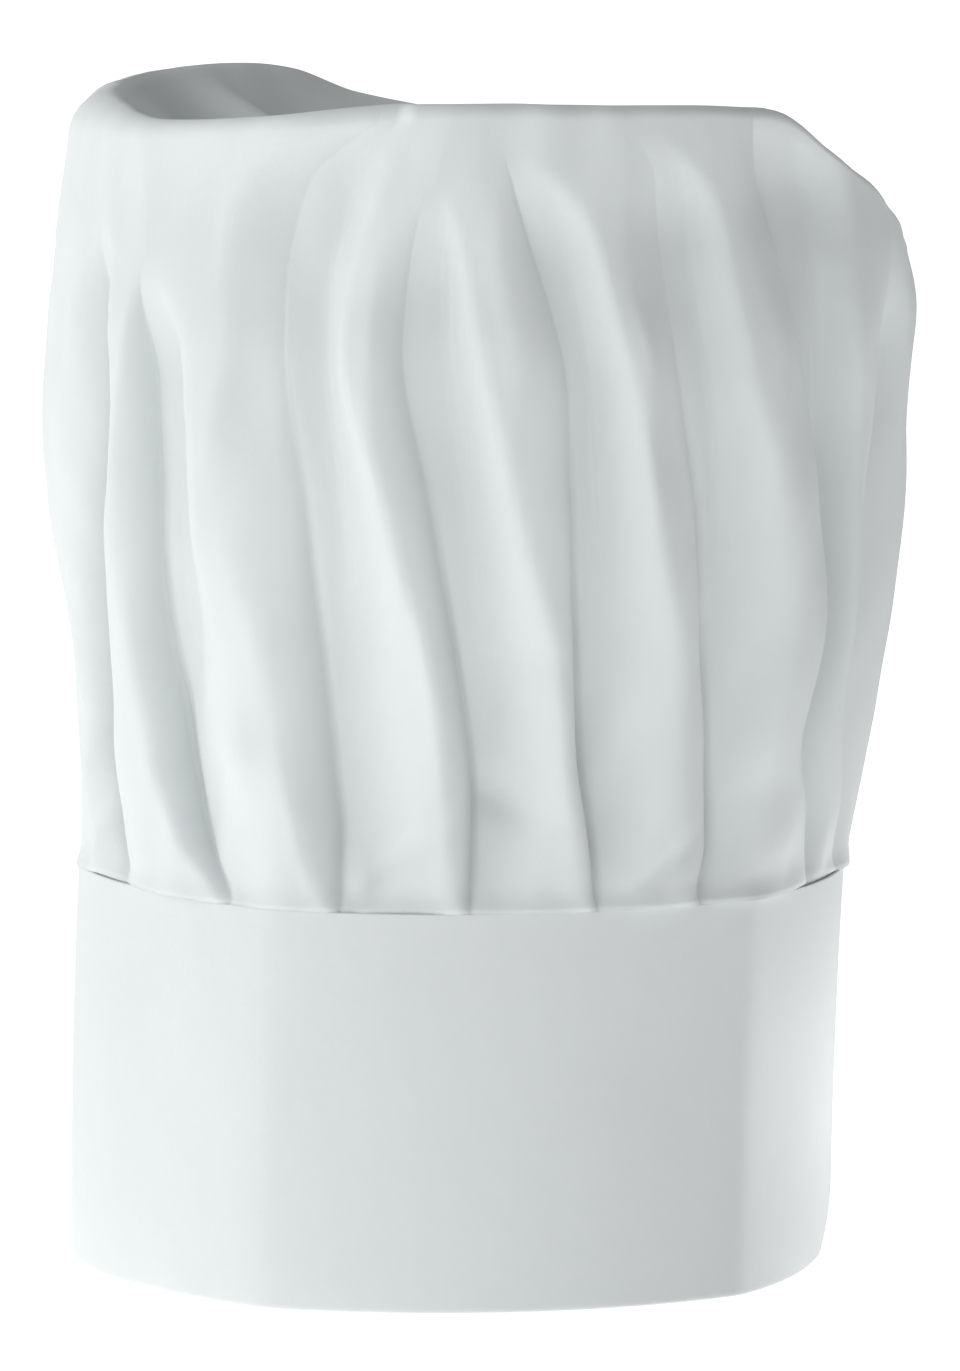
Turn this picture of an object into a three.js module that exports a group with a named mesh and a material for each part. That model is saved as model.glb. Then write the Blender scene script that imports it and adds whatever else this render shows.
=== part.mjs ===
// A tall chef hat: a stiff cloth band, folded double, and a puffed crown that is pleated into it.
// Millimetres, +Z up. The hat stands on the lower edge of its band, and its front faces -Y.
// Angles are in degrees round the hat from the front, growing towards +X.
import * as THREE from "three";

// The band: a strip folded at the lower edge, whose two plies open at the top to hold the crown.
const BAND_HEIGHT = 98;
const BAND_RADIUS = 93.4; // outer face at the top edge
const BAND_FLARE = 0.6; // how much smaller the outer face is at the lower edge
const BAND_THICKNESS = 2.6; // both plies pressed together
const PLY = 1.0;
const EDGE_EASE = 0.6; // softened edges of the plies
const SLOT_DEPTH = 14; // how far down the plies are open
const INNER_PLY_DROP = 1; // the inner ply stops this far below the outer one
const PLIES_PART = { from: 8, over: 2 }; // they start to part below the slot, and have by its floor
const BAND_COLUMNS = 72;
// The strip's end laps over its start at the centre back: its step, how far round the step takes
// to fade, and the degrees that the end itself is wide.
const LAP = { deg: 180, step: 1.1, fades: 26, end: 0.4 };
const TUCK = { deg: 78, deep: 3.2, wide: 24, tall: 20 }; // the lower edge curls in on the right

// Upright corners that the stiff strip keeps, standing out of a circle, and flats that sink in.
const BAND_PLAN = [
  { deg: -98, out: 1.6, soft: 10 },
  { deg: -55, out: -3, soft: 12 },
  { deg: -31, out: 4.2, soft: 4 },
  { deg: 47, out: 4.2, soft: 4.5 },
  { deg: 118, out: 2, soft: 8 },
  { deg: -165, out: 2.4, soft: 6 },
];
const CORNER_SPREAD = 15; // degrees over which a corner or a flat fades
const SQUARE_UNTIL = 190; // height where the crown has lost the band's corners

// The crown: one bag of cloth, pleated at its hem, with a shallow slumped top.
const CLOTH = 1.0;
const CLEARANCE = 0.3; // between the hem and each ply of the band
const HEM_BOTTOM = BAND_HEIGHT - SLOT_DEPTH + 1.5; // the hem stops clear of the slot's floor
const HEM_TOP = BAND_HEIGHT + 0.2;
const SEAM = BAND_HEIGHT + 1.6; // height at which the crown has turned out over the band's edge
const TOP_CENTRE = { x: -14, y: 12, z: 264 };
const DISH = 2.4; // how steeply the top falls from its rim before it levels

// The crown from the seam up: crest radius, the hat's lean, and the shape of its folds there.
// depth is the groove's depth, rise and fall the shares of a panel that climb out of the groove
// and drop into the next, lap how far a fold's edge hangs over the next groove, and puff how far
// a panel swells between its grooves.
const CROWN_SECTIONS = [
  { z: 98, radius: 91.6, leanX: 2.7, leanY: 0, depth: 0.6, rise: 0.45, fall: 0.28, lap: 0, puff: 0 },
  { z: 103, radius: 94, leanX: 3.2, leanY: 0, depth: 3.4, rise: 0.4, fall: 0.08, lap: 0.04, puff: 0.6 },
  { z: 123, radius: 95.2, leanX: 4.9, leanY: 0.4, depth: 8.0, rise: 0.54, fall: 0.09, lap: 0.05, puff: 1.2 },
  { z: 160, radius: 99.5, leanX: 7, leanY: 1.2, depth: 10.5, rise: 0.62, fall: 0.11, lap: 0.04, puff: 1.2 },
  { z: 210, radius: 105.6, leanX: 7.7, leanY: 2.4, depth: 10.5, rise: 0.66, fall: 0.15, lap: 0.02, puff: 0.8 },
  { z: 235, radius: 106.5, leanX: 8, leanY: 3.0, depth: 9.5, rise: 0.66, fall: 0.2, lap: 0, puff: 0.6 },
  { z: 253, radius: 104.8, leanX: 8.1, leanY: 3.4, depth: 8.0, rise: 0.64, fall: 0.26, lap: 0, puff: 0.3 },
  { z: 272, radius: 102.3, leanX: 8.2, leanY: 3.7, depth: 6.5, rise: 0.62, fall: 0.32, lap: 0, puff: 0 },
  { z: 300, radius: 99, leanX: 8.2, leanY: 4, depth: 6, rise: 0.6, fall: 0.34, lap: 0, puff: 0 },
];

// The pleats in order round the hat: each crease's angle at the four levels, the height at which
// its groove runs out, and its depth as a share of the section's.
const CREASE_LEVELS = [99, 150, 205, 260];
const PLEATS = [
  { seam: -60.8, low: -63.8, mid: -62.3, high: -64, top: 243, depth: 0.8 },
  { seam: -36.6, low: -48, mid: -51.8, high: -57, top: 248, depth: 1.1 },
  { seam: -16.9, low: -20.4, mid: -25, high: -38, top: 276, depth: 0.8 },
  { seam: 1.5, low: -1.8, mid: -8.2, high: -14.5, top: 274, depth: 1.05 },
  { seam: 19.7, low: 14.9, mid: 9, high: 0.5, top: 284, depth: 1.0 },
  { seam: 38.1, low: 34.6, mid: 28.8, high: 22.5, top: 291, depth: 0.85 },
  { seam: 58.8, low: 61.5, mid: 50.8, high: 41.4, top: 288, depth: 0.95 },
  { seam: 80, low: 75, mid: 71.5, high: 64, top: 259, depth: 0.9 },
  { seam: 100, low: 95, mid: 91, high: 84, top: 240, depth: 0.85 },
  { seam: 119, low: 115, mid: 108, high: 103, top: 246, depth: 1.0 },
  { seam: 138, low: 132, mid: 127, high: 119, top: 238, depth: 0.9 },
  { seam: 158, low: 154, mid: 146, high: 140, top: 251, depth: 1.05 },
  { seam: 178, low: 172, mid: 166, high: 157, top: 262, depth: 0.95 },
  { seam: 197, low: 192, mid: 184, high: 177, top: 254, depth: 0.8 },
  { seam: 217, low: 210, mid: 205, high: 197, top: 272, depth: 1.0 },
  { seam: 237, low: 232, mid: 226, high: 220, top: 266, depth: 0.9 },
  { seam: 257, low: 252, mid: 249, high: 244, top: 277, depth: 1.05 },
  { seam: 278, low: 274, mid: 273, high: 270, top: 262, depth: 0.9 },
];
const GROOVE_TIP = 16; // height over which a groove's rounded upper end closes

// Dents and swellings in the panels, mostly where the pleats are pressed into the seam. panel and
// across place one, counting panels from their left crease, and slant tilts it.
const DENTS = [
  { panel: 2, across: 0.2, z: 105, wide: 0.16, tall: 5, deep: 2.2, slant: 14 },
  { panel: 3, across: 0.22, z: 124, wide: 0.13, tall: 5, deep: 2.4, slant: -22 },
  { panel: 4, across: 0.62, z: 106, wide: 0.2, tall: 6, deep: 1.8, slant: 20 },
  { panel: 5, across: 0.55, z: 108, wide: 0.28, tall: 6, deep: 2.0, slant: 16 },
  { panel: 3, across: 0.7, z: 160, wide: 0.22, tall: 6, deep: 1.4, slant: -6 },
  { panel: 1, across: 0.5, z: 133, wide: 0.22, tall: 10, deep: -1.8, slant: 0 },
  { panel: 6, across: 0.3, z: 146, wide: 0.2, tall: 8, deep: 1.8, slant: 12 },
  { panel: 9, across: 0.4, z: 108, wide: 0.2, tall: 6, deep: 2.0, slant: 15 },
  { panel: 12, across: 0.5, z: 128, wide: 0.24, tall: 7, deep: 1.8, slant: -14 },
  { panel: 15, across: 0.35, z: 107, wide: 0.2, tall: 6, deep: 2.0, slant: 14 },
];

// The rim where the side turns into the top: its height, and how round its shoulder is.
const RIM = [
  { deg: -160, z: 277.5, round: 9 },
  { deg: -142, z: 285.5, round: 8 },
  { deg: -115, z: 288.6, round: 9 },
  { deg: -90, z: 290, round: 13 },
  { deg: -62, z: 290.5, round: 8 },
  { deg: -44, z: 290, round: 4 },
  { deg: -26, z: 294.5, round: 4 },
  { deg: -10, z: 298.7, round: 4 },
  { deg: 17, z: 297.8, round: 4 },
  { deg: 38, z: 295.6, round: 3 },
  { deg: 46, z: 293.4, round: 3 },
  { deg: 60, z: 279.5, round: 3 },
  { deg: 76, z: 265, round: 4 },
  { deg: 92, z: 253, round: 6 },
  { deg: 115, z: 250, round: 9 },
  { deg: 145, z: 260, round: 10 },
  { deg: 175, z: 272, round: 10 },
];

// Soft folds that run across the top, by the angle at which they meet the rim.
const TOP_FOLDS = [
  { deg: -118, deep: 4.5, wide: 15 },
  { deg: -58, deep: 3.5, wide: 14 },
  { deg: 20, deep: 3, wide: 16 },
  { deg: 84, deep: 3.5, wide: 15 },
  { deg: 158, deep: 3, wide: 18 },
];

const SIDE_ROWS = [0, 0.016, 0.05, 0.11, 0.2, 0.31, 0.43, 0.55, 0.67, 0.77, 0.86, 0.93, 1];
const SHOULDER_ROWS = [0.34, 0.68, 1];
const TOP_ROWS = [0.12, 0.3, 0.52, 0.76];
// Across a panel: its groove's floor, the climb out of it, the crest, the fold's edge and its fall.
const COLUMN_STEPS = [0, 0.4, 0.68, 1, 2, 2.5];
const FLOOR = 0.3; // share of the climb that is still the groove's level floor, once it is open
const FLOOR_FROM = 150; // the floors widen from the seam up to this height

const radians = THREE.MathUtils.degToRad;
const turnOf = (deg) => deg - 360 * Math.floor((deg + 180) / 360); // to between -180 and 180
const bell = (x) => Math.exp(-x * x);
const easedOut = (x) => (1 + Math.cos(Math.PI * x)) / 2; // from 1 at 0 to 0 at 1
const mix = THREE.MathUtils.lerp;

// A smooth curve through one column of a table, over another column or over given places.
function curve(places, values, x) {
  const last = places.length - 1;
  if (x <= places[0]) return values[0];
  if (x >= places[last]) return values[last];
  let i = 0;
  while (x > places[i + 1]) i++;
  const slope = (k) => {
    const a = Math.max(k - 1, 0);
    const b = Math.min(k + 1, last);
    return (values[b] - values[a]) / (places[b] - places[a]);
  };
  const step = places[i + 1] - places[i];
  const t = (x - places[i]) / step;
  const [t2, t3] = [t * t, t * t * t];
  return (
    (2 * t3 - 3 * t2 + 1) * values[i] +
    (t3 - 2 * t2 + t) * step * slope(i) +
    (3 * t2 - 2 * t3) * values[i + 1] +
    (t3 - t2) * step * slope(i + 1)
  );
}

const column = (rows, name) => rows.map((row) => row[name]);
const SECTION_HEIGHTS = column(CROWN_SECTIONS, "z");
const section = (name, z) => curve(SECTION_HEIGHTS, column(CROWN_SECTIONS, name), z);

// A column of the rim's table, whose rows go right round.
function rim(name, deg) {
  const rows = [RIM.at(-2), RIM.at(-1), ...RIM, RIM[0], RIM[1]];
  const places = rows.map((row, i) => row.deg + (i < 2 ? -360 : i >= rows.length - 2 ? 360 : 0));
  return curve(places, column(rows, name), turnOf(deg));
}

// How far the band's plan stands out of a circle, in the seam's angle.
function planOffset(deg) {
  return BAND_PLAN.reduce((sum, { deg: at, out, soft }) => {
    const away = Math.hypot(turnOf(deg - at), soft) - soft;
    return sum + out * Math.exp(-away / CORNER_SPREAD);
  }, 0);
}

// A point of the band at an angle and a height, a given distance in from its outer face.
function bandPoint(deg, z, inward) {
  const behind = turnOf(LAP.deg - deg);
  const lapped = inward < PLY && behind >= 0;
  const lap = lapped ? LAP.step * Math.max(0, 1 - behind / LAP.fades) : 0;
  const low = Math.max(0, 1 - z / TUCK.tall) ** 2;
  const tuck = TUCK.deep * bell(turnOf(deg - TUCK.deg) / TUCK.wide) * low;
  const flare = BAND_FLARE * (1 - z / BAND_HEIGHT);
  const radius = BAND_RADIUS - flare + planOffset(deg) + lap - tuck - inward;
  const axis = section("leanX", BAND_HEIGHT) * (z / BAND_HEIGHT) ** 2;
  const a = radians(deg);
  return new THREE.Vector3(axis + radius * Math.sin(a), -radius * Math.cos(a), z);
}

// The angle of a crease, counted on past the last pleat into the next turn.
function creaseAngle(pleat, z) {
  const turns = Math.floor(pleat / PLEATS.length);
  const { seam, low, mid, high } = PLEATS[pleat - turns * PLEATS.length];
  return curve(CREASE_LEVELS, [seam, low, mid, high], z) + 360 * turns;
}

// Where a column's step lies across its panel: 0 to 1 climbs out of the groove, 1 to 2 is the
// open panel, and 2 to 3 drops into the next groove.
function acrossPanel(step, rise, fall) {
  if (step <= 1) return step * rise;
  if (step <= 2) return mix(rise, 1 - fall, step - 1);
  return mix(1 - fall, 1, step - 2);
}

// How deep a pleat's groove is at a height.
function grooveDepth(pleat, z) {
  const { top, depth } = PLEATS[pleat % PLEATS.length];
  const open = THREE.MathUtils.clamp((top - z) / GROOVE_TIP, 0, 1);
  return section("depth", z) * depth * Math.sin((open * Math.PI) / 2);
}

// A point of the crown's outer face at a pleat, a step across its panel, and a height:
// its angle round the hat and how far it is from the leaning axis.
function foldedPoint(pleat, step, z) {
  const [rise, fall, lap] = ["rise", "fall", "lap"].map((name) => section(name, z));
  const across = acrossPanel(step, rise, fall);
  const hang = lap * Math.sin((Math.PI * Math.max(step - 1, 0)) / 2);
  const deg = mix(creaseAngle(pleat, z), creaseAngle(pleat + 1, z), across + hang);
  const floor = FLOOR * THREE.MathUtils.clamp((z - SEAM) / (FLOOR_FROM - SEAM), 0, 1);
  const climbed = THREE.MathUtils.clamp((step - floor) / (1 - floor), 0, 1);
  const groove =
    grooveDepth(pleat, z) * easedOut(climbed) + grooveDepth(pleat + 1, z) * easedOut(Math.min(3 - step, 1));
  const dents = DENTS.filter((dent) => dent.panel === pleat).reduce((sum, dent) => {
    const off = across - dent.across;
    return sum + dent.deep * bell(off / dent.wide) * bell((z - dent.z - dent.slant * off) / dent.tall);
  }, 0);
  const radius =
    section("radius", z) +
    planOffset(deg) * THREE.MathUtils.clamp((SQUARE_UNTIL - z) / (SQUARE_UNTIL - SEAM), 0, 1) +
    section("puff", z) * Math.sin(Math.PI * across) -
    groove -
    dents;
  return { deg, radius };
}

// A place in plan, from an angle and a radius about the leaning axis.
function placed(deg, radius, z) {
  const a = radians(deg);
  return new THREE.Vector3(
    section("leanX", z) + radius * Math.sin(a),
    section("leanY", z) - radius * Math.cos(a),
    z,
  );
}

// One column of the crown's outer face, from its hem up over the rim to the top's centre.
function crownColumn(pleat, step) {
  const hemDeg = foldedPoint(pleat, step, BAND_HEIGHT).deg;
  const points = [HEM_BOTTOM, HEM_TOP].map((z) => bandPoint(hemDeg, z, PLY + CLEARANCE));
  let deg = foldedPoint(pleat, step, CREASE_LEVELS.at(-1)).deg;
  // The rim's height depends on the angle, which the folds turn on the way up to it.
  for (let pass = 0; pass < 3; pass++) {
    deg = foldedPoint(pleat, step, rim("z", deg) - rim("round", deg)).deg;
  }
  const round = rim("round", deg);
  const shoulder = rim("z", deg) - round;
  for (const share of SIDE_ROWS) {
    const z = mix(SEAM, shoulder, share);
    const folded = foldedPoint(pleat, step, z);
    points.push(placed(folded.deg, folded.radius, z));
  }
  const side = foldedPoint(pleat, step, shoulder);
  const flat = side.radius - round; // the radius where the shoulder has turned level
  for (const share of SHOULDER_ROWS) {
    const a = (share * Math.PI) / 2;
    points.push(placed(side.deg, flat + round * Math.cos(a), shoulder + round * Math.sin(a)));
  }
  const from = points.at(-1);
  for (const share of TOP_ROWS) {
    const fallen = 1 - (1 - share) ** DISH;
    const fold = TOP_FOLDS.reduce(
      (sum, f) => sum + f.deep * bell(turnOf(side.deg - f.deg) / f.wide) * Math.sin(Math.PI * share),
      0,
    );
    points.push(
      new THREE.Vector3(
        mix(from.x, TOP_CENTRE.x, share),
        mix(from.y, TOP_CENTRE.y, share),
        mix(from.z, TOP_CENTRE.z, fallen) - fold,
      ),
    );
  }
  return points;
}

// The outward normals of a grid of points that closes on itself from column to column.
function gridNormals(grid, pole) {
  const columns = grid.length;
  return grid.map((points, c) =>
    points.map((point, r) => {
      const left = grid[(c + columns - 1) % columns][r];
      const right = grid[(c + 1) % columns][r];
      const below = points[Math.max(r - 1, 0)];
      const above = points[r + 1] ?? pole;
      const round = right.clone().sub(left);
      return round.cross(above.clone().sub(below)).normalize();
    }),
  );
}

// A closed geometry from points and triangles of their numbers.
function geometryOf(points, triangles) {
  const geometry = new THREE.BufferGeometry();
  geometry.setFromPoints(points);
  geometry.setIndex(triangles);
  geometry.computeVertexNormals();
  return geometry;
}

// The crown as a cloth wall: the outer face, the same face set in by the cloth, and the hem.
function crownGeometry() {
  const grid = [];
  PLEATS.forEach((_, pleat) => {
    for (const step of COLUMN_STEPS) grid.push(crownColumn(pleat, step));
  });
  const pole = new THREE.Vector3(TOP_CENTRE.x, TOP_CENTRE.y, TOP_CENTRE.z);
  const normals = gridNormals(grid, pole);
  const columns = grid.length;
  const rows = grid[0].length;
  const outer = grid.flat();
  const inner = grid.flatMap((points, c) =>
    points.map((point, r) => point.clone().addScaledVector(normals[c][r], -CLOTH)),
  );
  for (let c = 0; c < columns; c++) inner[c * rows].z = outer[c * rows].z; // the hem is cut level
  const points = [...outer, ...inner, pole, pole.clone().setZ(pole.z - CLOTH)];
  const inside = outer.length;
  const [outerPole, innerPole] = [2 * inside, 2 * inside + 1];
  const triangles = [];
  for (let c = 0; c < columns; c++) {
    const [a, b] = [c * rows, ((c + 1) % columns) * rows];
    for (let r = 0; r < rows - 1; r++) {
      triangles.push(a + r, b + r, b + r + 1, a + r, b + r + 1, a + r + 1);
      triangles.push(inside + a + r, inside + b + r + 1, inside + b + r);
      triangles.push(inside + a + r, inside + a + r + 1, inside + b + r + 1);
    }
    triangles.push(a + rows - 1, b + rows - 1, outerPole);
    triangles.push(inside + a + rows - 1, innerPole, inside + b + rows - 1);
    triangles.push(a, inside + a, inside + b, a, inside + b, b);
  }
  return geometryOf(points, triangles);
}

// The band's profile, up its outer face and down its inner one: distance in from the outer face,
// and height. The slot at its top holds the crown's hem.
function bandProfile() {
  const slot = PLY + CLOTH + 2 * CLEARANCE; // the slot's inner wall
  const floor = BAND_HEIGHT - SLOT_DEPTH;
  const innerTop = BAND_HEIGHT - INNER_PLY_DROP;
  return [
    { in: EDGE_EASE, z: 0 },
    { in: 0, z: EDGE_EASE },
    { in: 0, z: TUCK.tall / 2 },
    { in: 0, z: BAND_HEIGHT / 2 },
    { in: 0, z: BAND_HEIGHT - EDGE_EASE },
    { in: EDGE_EASE / 2, z: BAND_HEIGHT },
    { in: PLY, z: BAND_HEIGHT },
    { in: PLY, z: floor },
    { in: slot, z: floor },
    { in: slot, z: innerTop },
    { in: slot + PLY, z: innerTop },
    { in: slot + PLY, z: floor - PLIES_PART.over },
    { in: BAND_THICKNESS, z: floor - PLIES_PART.from },
    { in: BAND_THICKNESS, z: EDGE_EASE },
    { in: BAND_THICKNESS - EDGE_EASE, z: 0 },
  ];
}

// The band as its profile swept round the hat, with an extra column where the lap ends.
function bandGeometry() {
  const profile = bandProfile();
  const angles = Array.from({ length: BAND_COLUMNS }, (_, i) => LAP.deg + (i * 360) / BAND_COLUMNS);
  angles.splice(1, 0, LAP.deg + LAP.end);
  const points = angles.flatMap((deg) => profile.map((edge) => bandPoint(deg, edge.z, edge.in)));
  const [columns, rows] = [angles.length, profile.length];
  const triangles = [];
  for (let c = 0; c < columns; c++) {
    const [a, b] = [c * rows, ((c + 1) % columns) * rows];
    for (let r = 0; r < rows; r++) {
      const s = (r + 1) % rows;
      triangles.push(a + r, b + r, b + s, a + r, b + s, a + s);
    }
  }
  return geometryOf(points, triangles);
}

function piece(name, geometry, look) {
  const mesh = new THREE.Mesh(geometry, new THREE.MeshStandardMaterial(look));
  mesh.name = name;
  return mesh;
}

const hat = new THREE.Group();
hat.add(piece("band", bandGeometry(), { color: 0xf1f3f4, roughness: 0.7, metalness: 0 }));
hat.add(piece("crown", crownGeometry(), { color: 0xf3f5f6, roughness: 0.78, metalness: 0 }));

// The origin is under the middle of the whole hat, on the surface that it stands on.
const middle = new THREE.Box3().setFromObject(hat, true).getCenter(new THREE.Vector3());
hat.position.set(-middle.x, -middle.y, 0);

export default hat;
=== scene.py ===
"""A tall pleated chef hat of white cotton, standing on a pale floor in soft studio light.

Lengths are in millimetres about the band's own axis until a piece is made, and angles in degrees
round the hat from its front, which faces -Y, growing towards +X.
"""

import math

import bpy
import numpy as np
from mathutils import Matrix, Vector


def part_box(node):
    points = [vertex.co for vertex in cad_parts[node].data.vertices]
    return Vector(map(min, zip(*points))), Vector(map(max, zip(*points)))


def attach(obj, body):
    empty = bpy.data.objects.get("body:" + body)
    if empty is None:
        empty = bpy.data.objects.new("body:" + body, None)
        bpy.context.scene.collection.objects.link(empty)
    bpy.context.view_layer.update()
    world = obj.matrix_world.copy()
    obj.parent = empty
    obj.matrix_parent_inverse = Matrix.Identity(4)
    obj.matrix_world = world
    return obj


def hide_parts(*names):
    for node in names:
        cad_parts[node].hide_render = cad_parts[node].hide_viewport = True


MM = 0.001

# The band: a stiff strip folded double at its lower edge, lapped at the centre back, with its top
# edge parted into a slot for the crown's hem, and drawn in a little at its lower right.
BAND_HEIGHT = 98.0
BAND_RADIUS = 93.4
BAND_FLARE = 0.6
BAND_LEAN = 2.7
BAND_THICKNESS = 2.4
PLY = 0.9
FOLD_ROUND = 0.9
EDGE_ROUND = 0.15
EDGE_BEGINS = 0.3  # how far below its rounding the band's top edge has its last row of points

# The slot: its depth and width, how far below the edge its rows of points begin, how much lower the
# inner ply ends, and how far below the slot's floor the band is halfway and all the way down to its
# usual thickness.
SLOT = {"depth": 14.0, "wide": 1.6, "edge": 2.0, "inner_drop": 1.0, "narrows": 4.0, "shut": 8.0}
PLIES_PART = 1.6  # the height where the fold's solid edge ends and there is room between the plies
PLIES_STAND = 3.0  # the height from which the faces between the plies go straight up

# The lap: at what angle its end lies, how far it stands out there, over how many degrees that
# fades, and over how many the cut end drops. The tuck: its angle, depth, width and height.
LAP = {"deg": 180.0, "step": 1.0, "fades": 26.0, "end": 0.35}
TUCK = {"deg": 78.0, "deep": 3.2, "wide": 24.0, "tall": 20.0}

# Upright corners and flats of the band's plan: how far each stands out, and how soft it is.
BAND_PLAN = [
    {"deg": -98, "out": 1.6, "soft": 10},
    {"deg": -55, "out": -3.0, "soft": 12},
    {"deg": -28, "out": 4.6, "soft": 3},
    {"deg": 47, "out": 4.2, "soft": 2},
    {"deg": 118, "out": 2.0, "soft": 8},
    {"deg": -165, "out": 2.4, "soft": 6},
]
CORNER_SPREAD = 15.0  # over how many degrees a corner or a flat dies away
SQUARE_UNTIL = 190.0  # the height up to which they still show in the crown

# The crown, by height: crest radius, lean, and the shape of its folds. Shares are of a panel from
# one crease to the next: floor is the groove's level floor, rise where the climb out of it ends,
# and fall how wide the fold's edge rolls down into the next crease. slit is the depth of the
# pressed crease itself, lap how far a fold's edge hangs over it, puff how far a panel swells, and
# sink how much deeper a groove's floor lies where the climb begins than in the crease.
SECTION_COLUMNS = (
    "z", "radius", "x", "y", "depth", "floor", "rise", "fall", "slit", "lap", "puff", "sink",
)
SECTIONS = [
    (98, 93.9, 2.7, 0.0, 0.2, 0.00, 0.50, 0.12, 0.3, 0.00, 0.0, 0.0),
    (103, 94.5, 3.3, 0.0, 3.0, -0.05, 0.56, 0.34, 1.1, 0.02, -1.6, 0.0),
    (123, 98.1, 5.6, 0.4, 8.1, -0.05, 0.84, 0.39, 1.6, 0.03, -2.7, 0.5),
    (160, 103.4, 7.6, 1.2, 8.4, 0.13, 0.83, 0.39, 2.2, 0.03, -3.0, 1.5),
    (190, 108.2, 6.6, 1.9, 8.5, 0.22, 0.67, 0.55, 1.4, 0.02, -3.0, 2.5),
    (212, 109.6, 6.1, 2.4, 8.5, 0.26, 0.61, 0.58, 0.8, 0.00, -3.0, 2.5),
    (235, 108.5, 6.4, 3.0, 7.0, 0.30, 0.54, 0.43, 0.2, 0.00, -3.0, 1.6),
    (253, 104.8, 6.6, 3.4, 6.3, 0.31, 0.57, 0.50, 0.0, 0.00, -2.5, 0.6),
    (272, 101.2, 6.9, 3.7, 6.4, 0.39, 0.65, 0.48, 0.0, 0.00, -2.1, 0.0),
    (300, 99.0, 8.2, 4.0, 3.6, 0.20, 0.60, 0.34, 0.0, 0.00, 0.0, 0.0),
]
LAP_BEGINS = 0.6  # the share of a panel where its edge begins to hang over the crease
SLIT_WIDE = 0.05  # how far from a crease its pressed line reaches, as a share of a panel
SHADE_WIDE = 0.045  # how far from a crease painted shade darkens the cloth, as a share of a panel
# Painted shade in the creases: heights, and the share of its full strength it has at each
SHADE_LEVELS = (99, 112, 190, 235)
SHADE_AT_LEVELS = (0.3, 1.0, 1.0, 0.0)
ROLL = 0.97  # how much of a quarter turn a fold's edge rolls through
CLIMB_LEAST = 0.2  # the least share of a panel from the end of a groove's floor to its climb's end
FALL_LIMITS = (0.06, 0.7)  # the narrowest and the widest edge of a fold, as shares of a panel
UPPER = (120.0, 200.0)  # between these heights a pleat takes on its upper rise and fall
CREST_AT = 0.6  # where a fold's crest is highest, as a share of its edge's width from the crease
CREST_LEAST = 0.4  # the least share of its climb that a fold is taken to have made at its crest
CREST_MOST = 1.1  # how high a fold may rise, as a share of its crest's height
SINK_LEAST = 0.1  # the least share of a panel over which a groove's floor sinks

# The creases, each by its angle at the levels, and each pleat: where its groove ends, its share of
# the groove's depth, what it adds to the floor and the puff, how much it stretches the rise and the
# fall, and how straight its fall is.
CREASE_LEVELS = [99, 112, 135, 165, 200, 235, 275, 293]
CREASES = [
    [-64.0, -72.0, -79.5, -77.0, -64.5, -62.0, -67.0, -69.0],
    [-36.5, -45.5, -53.0, -55.5, -52.0, -51.5, -56.5, -60.0],
    [-18.2, -20.3, -23.5, -25.6, -26.2, -28.0, -26.4, -13.2],
    [1.2, 0.3, -1.3, -4.6, -7.0, -10.6, -9.1, -7.1],
    [20.5, 19.1, 15.5, 13.7, 13.3, 11.7, 3.3, -3.8],
    [37.2, 38.6, 36.7, 33.6, 31.8, 28.0, 24.5, 16.1],
    [62.3, 60.5, 54.5, 58.3, 56.0, 50.7, 44.7, 39.2],
    [77.0, 74.5, 70.0, 66.5, 70.0, 72.5, 73.5, 74.5],
    [100.0, 98.7, 96.5, 93.9, 91.4, 89.0, 86.0, 85.0],
    [119.0, 118.0, 116.2, 113.1, 108.6, 105.3, 103.0, 102.2],
    [138.0, 136.5, 133.8, 130.6, 127.5, 122.6, 119.0, 117.7],
    [158.0, 157.0, 155.2, 151.8, 146.7, 142.7, 140.0, 139.1],
    [178.0, 176.5, 173.8, 170.4, 166.5, 161.1, 157.0, 155.6],
    [197.0, 195.7, 193.5, 189.8, 184.7, 180.2, 177.0, 175.9],
    [217.0, 215.2, 212.1, 208.6, 205.5, 200.6, 197.0, 195.7],
    [234.0, 232.7, 230.5, 227.4, 223.5, 220.7, 218.0, 217.1],
    [250.0, 249.0, 247.5, 246.0, 244.5, 242.5, 241.0, 240.5],
    [266.0, 265.0, 263.5, 262.5, 262.0, 261.5, 261.0, 260.5],
]
PLEAT_COLUMNS = ("top", "depth", "floor", "rise", "upper_rise", "fall", "upper_fall", "straight", "puff")
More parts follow.
